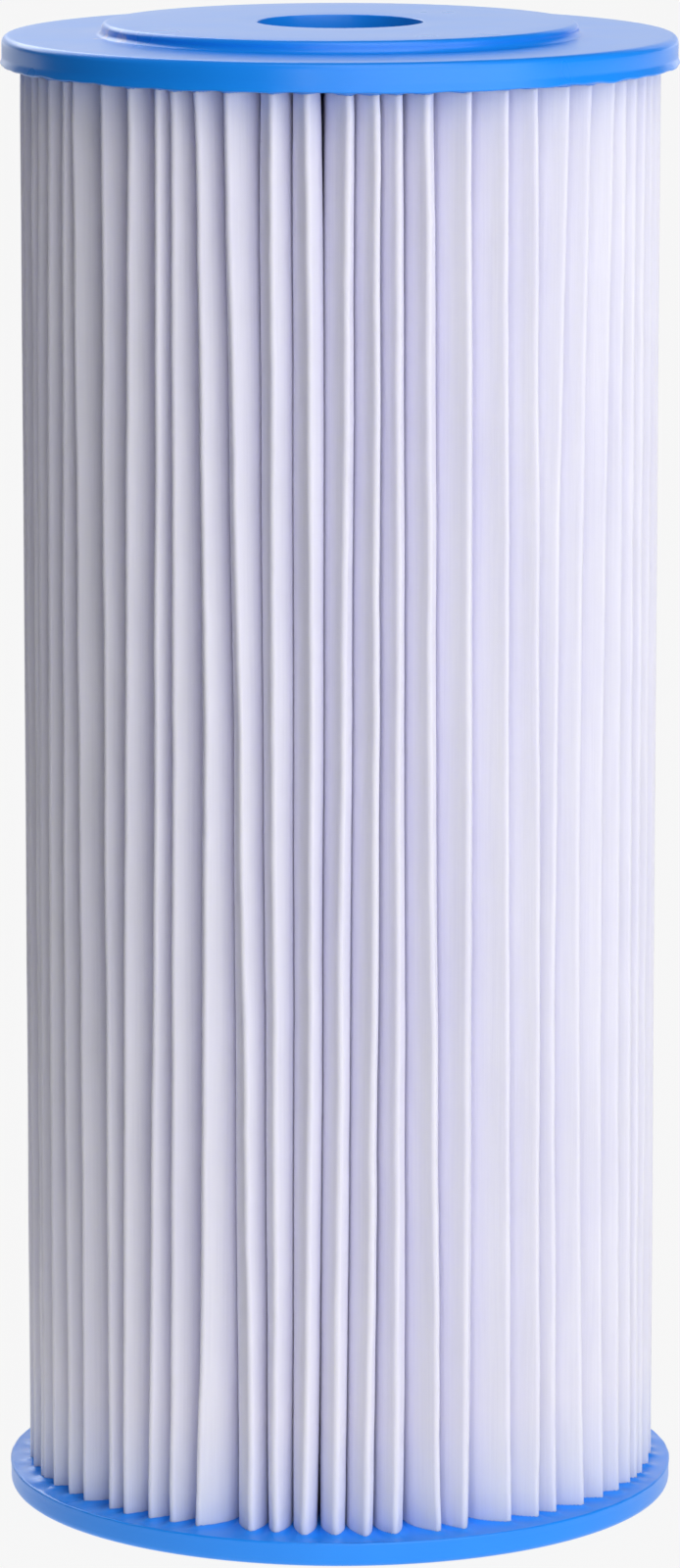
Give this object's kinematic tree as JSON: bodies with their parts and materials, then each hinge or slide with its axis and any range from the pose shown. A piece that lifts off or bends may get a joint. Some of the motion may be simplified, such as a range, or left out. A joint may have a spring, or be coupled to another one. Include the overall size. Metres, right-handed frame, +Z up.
{
  "type": "filter cartridge",
  "caption": "Cylindrical pleated filter cartridge: white folded polyester round a perforated core, with a flat flanged soft end cap and central bore at each end.",
  "frame": {"origin": "centre of the bottom sealing face, on the cartridge's axis", "axes": "+Z up along the axis to the top cap; -Y towards the front, where the pleats are gathered least evenly; the sheet's seam is at the back"},
  "size_m": [0.114, 0.114, 0.254],
  "materials": {
    "blue_plastisol": "satin, cast soft vinyl",
    "polyester_media": "matt non-woven with fine upright fibres",
    "core_plastic": "moulded",
    "netting_plastic": "extruded mesh",
    "seam_adhesive": "set hot-melt"
  },
  "bodies": {
    "root": {"end_cap_top": "blue_plastisol", "end_cap_bottom": "blue_plastisol", "pleated_media": "polyester_media", "core": "core_plastic", "core_netting": "netting_plastic", "side_seam": "seam_adhesive"}
  },
  "joints": []
}
